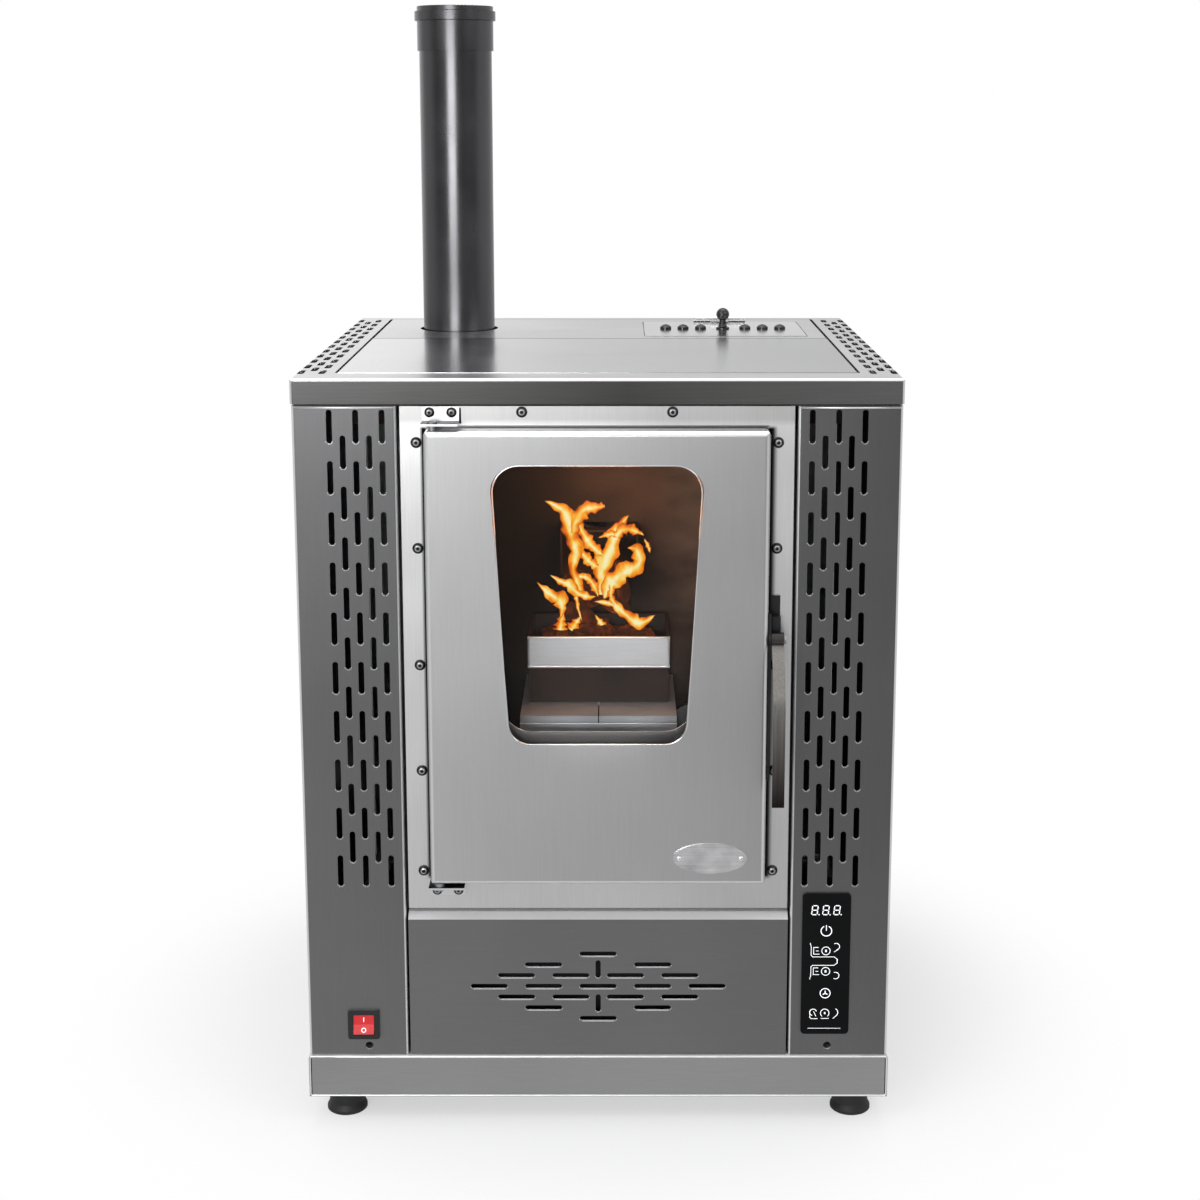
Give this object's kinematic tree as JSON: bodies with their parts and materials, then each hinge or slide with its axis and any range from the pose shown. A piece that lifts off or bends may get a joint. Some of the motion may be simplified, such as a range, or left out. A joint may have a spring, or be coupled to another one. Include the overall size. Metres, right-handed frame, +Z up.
{
  "type": "pellet cookstove",
  "caption": "Free-standing sheet steel pellet stove with a hot plate on top, a glazed fire door with a lever latch, a slotted ash drawer, a hopper with an auger, and a flue pipe.",
  "frame": {"origin": "on the floor, under the middle of the box that holds the stove", "axes": "+X to the right seen from the front, +Y from the door to the back, +Z up"},
  "size_m": [0.57, 0.648, 1.099],
  "materials": {
    "plinth_steel": "satin brushed",
    "casing_steel": "dark satin brushed",
    "stainless": "brushed",
    "door_steel": "satin",
    "polished_steel": "polished",
    "zinc_steel": "zinc plated",
    "black_steel": "black oxide",
    "black_enamel": "satin black stove enamel",
    "fire_steel": "heat darkened steel",
    "baffle_board": "pressed mineral board",
    "motor_paint": "grey paint",
    "foot_rubber": "moulded",
    "seal_fibre": "glass fibre tape and rope",
    "black_plastic": "moulded",
    "red_plastic": "translucent red",
    "clear_glass": "clear ceramic glass",
    "black_glass": "black glass front"
  },
  "bodies": {
    "stove": {"plinth": "plinth_steel", "feet": "foot_rubber", "foot_bolts": "zinc_steel", "left_casing": "casing_steel", "right_casing": "casing_steel", "rear_panel": "zinc_steel", "inner_walls": "zinc_steel", "partition": "zinc_steel", "front_frame": "stainless", "frame_screws": "black_steel", "top_frame": "stainless", "top_seal": "seal_fibre", "hot_plate": "stainless", "hob_seal": "seal_fibre", "rear_deck": "stainless", "heat_box": "fire_steel", "firebox": "fire_steel", "baffle": "baffle_board", "pot_stand": "stainless", "pot_holder": "fire_steel", "igniter": "zinc_steel", "air_intake": "black_enamel", "hopper": "zinc_steel", "lid_hinge": "zinc_steel", "auger_tube": "zinc_steel", "auger_motor": "motor_paint", "drop_chute": "fire_steel", "downcomer": "zinc_steel", "fan_housing": "zinc_steel", "fan_motor": "motor_paint", "flue_collar": "zinc_steel", "flue_pipe": "black_enamel", "power_inlet": "black_plastic", "controller": "black_plastic", "control_panel": "black_glass", "switch_body": "black_plastic", "drawer_runners": "zinc_steel", "hinge_brackets": "polished_steel", "hinge_pins": "zinc_steel", "latch_keeper": "black_steel"},
    "door": {"door_shell": "door_steel", "door_inner": "door_steel", "door_glass": "clear_glass", "glass_seal": "seal_fibre", "glass_clips": "zinc_steel", "door_gasket": "seal_fibre", "door_pivots": "zinc_steel", "badge": "polished_steel", "latch_bracket": "black_steel", "latch_pin": "zinc_steel"},
    "latch": {"latch_lever": "stainless"},
    "drawer": {"drawer_front": "casing_steel", "drawer_box": "zinc_steel"},
    "lid": {"hopper_lid": "polished_steel", "lid_knob": "black_plastic", "lid_caps": "black_plastic"},
    "rocker": {"switch_rocker": "red_plastic"},
    "auger": {"auger_screw": "stainless"},
    "exhaust_fan": {"fan_impeller": "stainless"},
    "pot": {"burn_pot": "stainless"}
  },
  "joints": [
    {"name": "door_hinge", "type": "hinge", "parent": "stove", "child": "door", "pos_m": [-0.152, -0.288, 0.4783], "axis": [0, 0, -1], "range_deg": [0, 110]},
    {"name": "latch_pivot", "type": "hinge", "parent": "door", "child": "latch", "pos_m": [0.169, -0.29, 0.5], "axis": [-1, 0, 0], "range_deg": [0, 50]},
    {"name": "drawer_slide", "type": "slide", "parent": "stove", "child": "drawer", "axis": [0, -1, 0], "range_m": [0, 0.26]},
    {"name": "lid_hinge_axis", "type": "hinge", "parent": "stove", "child": "lid", "pos_m": [0.1378, 0.2265, 0.7475], "axis": [-1, 0, 0], "range_deg": [0, 95]},
    {"name": "rocker_tilt", "type": "hinge", "parent": "stove", "child": "rocker", "pos_m": [-0.23, -0.2735, 0.1054], "axis": [1, 0, 0], "range_deg": [0, 20]},
    {"name": "auger_spin", "type": "hinge", "parent": "stove", "child": "auger", "pos_m": [0, 0.1843, 0.406], "axis": [0, -0.7071, 0.7071], "continuous": true},
    {"name": "fan_spin", "type": "hinge", "parent": "stove", "child": "exhaust_fan", "pos_m": [-0.107, 0.161, 0.25], "axis": [0, 1, 0], "continuous": true},
    {"name": "pot_lift", "type": "slide", "parent": "stove", "child": "pot", "axis": [0, 0, 1], "range_m": [0, 0.04]}
  ]
}
